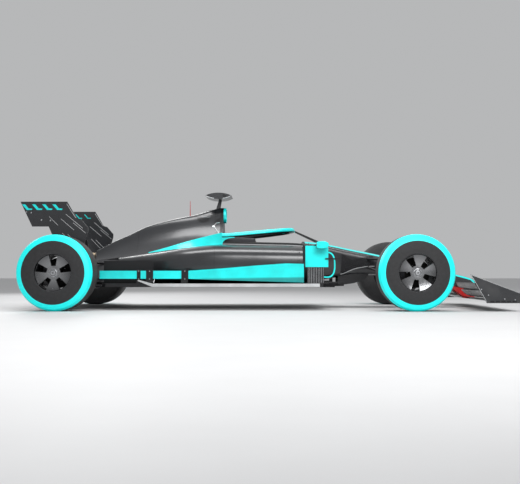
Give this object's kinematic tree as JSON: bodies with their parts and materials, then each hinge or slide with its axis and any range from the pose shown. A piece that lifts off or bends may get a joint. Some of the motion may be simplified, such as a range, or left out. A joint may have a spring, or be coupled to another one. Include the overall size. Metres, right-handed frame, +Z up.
{
  "type": "open wheel racing car",
  "caption": "Single-seat open wheel racing car with hollow cockpit, halo, front and rear wings, sidepods, steered front wheels and free rolling wheels.",
  "frame": {"origin": "on the ground under the middle of the car's length and width", "axes": "+X forward, +Y to the car's left, +Z up"},
  "size_m": [4.484, 2, 1.1165],
  "materials": {
    "graphite_paint": "gloss",
    "black_carbon": "satin",
    "cyan_paint": "gloss",
    "red_paint": "gloss",
    "machined_alloy": "satin",
    "exhaust_steel": "satin",
    "wheel_alloy": "satin",
    "tyre_rubber": "matte",
    "boot_rubber": "matte",
    "headrest_cloth": "matte",
    "rear_lens": "gloss"
  },
  "bodies": {
    "chassis": {"nose_deck": "graphite_paint", "nose_cone": "graphite_paint", "monocoque": "graphite_paint", "engine_cover": "graphite_paint", "sidepods": "graphite_paint", "camera_pod": "graphite_paint", "front_wing_main": "graphite_paint", "front_wing_flaps": "graphite_paint", "front_wing_endplates": "graphite_paint", "rear_wing_main": "graphite_paint", "rear_wing_flap": "graphite_paint", "rear_wing_endplates": "graphite_paint", "dash": "black_carbon", "roll_hoop": "black_carbon", "mirrors": "black_carbon", "floor": "black_carbon", "plank": "black_carbon", "diffuser": "black_carbon", "deflector_slats": "black_carbon", "nose_vanes": "black_carbon", "front_links": "black_carbon", "rear_links": "black_carbon", "crash_structure": "black_carbon", "rear_wing_pylons": "black_carbon", "seat": "black_carbon", "airbox_lip": "cyan_paint", "halo": "cyan_paint", "halo_fairings": "cyan_paint", "side_rails": "cyan_paint", "deflector_panels": "cyan_paint", "nose_pylons": "red_paint", "antenna": "red_paint", "rear_uprights": "machined_alloy", "gearbox": "machined_alloy", "power_unit": "machined_alloy", "exhaust": "exhaust_steel", "steering_boots": "boot_rubber", "headrest": "headrest_cloth", "rear_light": "rear_lens"},
    "steering_wheel": {"steering_wheel": "black_carbon"},
    "steering_rack": {"steering_rack": "machined_alloy"},
    "knuckle_left": {"knuckle_left": "machined_alloy"},
    "knuckle_right": {"knuckle_right": "machined_alloy"},
    "wheel_front_left": {"tyre_front_left": "tyre_rubber", "rim_front_left": "wheel_alloy"},
    "wheel_front_right": {"tyre_front_right": "tyre_rubber", "rim_front_right": "wheel_alloy"},
    "wheel_rear_left": {"tyre_rear_left": "tyre_rubber", "rim_rear_left": "wheel_alloy", "driveshaft_left": "machined_alloy"},
    "wheel_rear_right": {"tyre_rear_right": "tyre_rubber", "rim_rear_right": "wheel_alloy", "driveshaft_right": "machined_alloy"}
  },
  "joints": [
    {"name": "steer_left", "type": "hinge", "parent": "chassis", "child": "knuckle_left", "pos_m": [1.326, 0.7555, 0.335], "axis": [0, 0, 1], "range_deg": [-15, 15]},
    {"name": "steer_right", "type": "hinge", "parent": "chassis", "child": "knuckle_right", "pos_m": [1.326, -0.7555, 0.335], "axis": [0, 0, 1], "range_deg": [-15, 15]},
    {"name": "rack_slide", "type": "slide", "parent": "chassis", "child": "steering_rack", "axis": [0, 1, 0], "range_m": [-0.0223, 0.0223]},
    {"name": "column_turn", "type": "hinge", "parent": "chassis", "child": "steering_wheel", "pos_m": [0.2064, 0, 0.548], "axis": [0.9703, 0, -0.2419], "range_deg": [-181, 181]},
    {"name": "spin_front_left", "type": "hinge", "parent": "knuckle_left", "child": "wheel_front_left", "pos_m": [1.326, 0.8475, 0.335], "axis": [0, 1, 0], "continuous": true},
    {"name": "spin_rear_left", "type": "hinge", "parent": "chassis", "child": "wheel_rear_left", "pos_m": [-1.834, 0.8275, 0.335], "axis": [0, 1, 0], "continuous": true},
    {"name": "spin_front_right", "type": "hinge", "parent": "knuckle_right", "child": "wheel_front_right", "pos_m": [1.326, -0.8475, 0.335], "axis": [0, 1, 0], "continuous": true},
    {"name": "spin_rear_right", "type": "hinge", "parent": "chassis", "child": "wheel_rear_right", "pos_m": [-1.834, -0.8275, 0.335], "axis": [0, 1, 0], "continuous": true}
  ],
  "couplings": [
    {"joint": "steer_right", "follows": "steer_left", "ratio": 1},
    {"joint": "rack_slide", "follows": "steer_left", "m_per_rad": 0.085},
    {"joint": "column_turn", "follows": "steer_left", "ratio": -12}
  ]
}
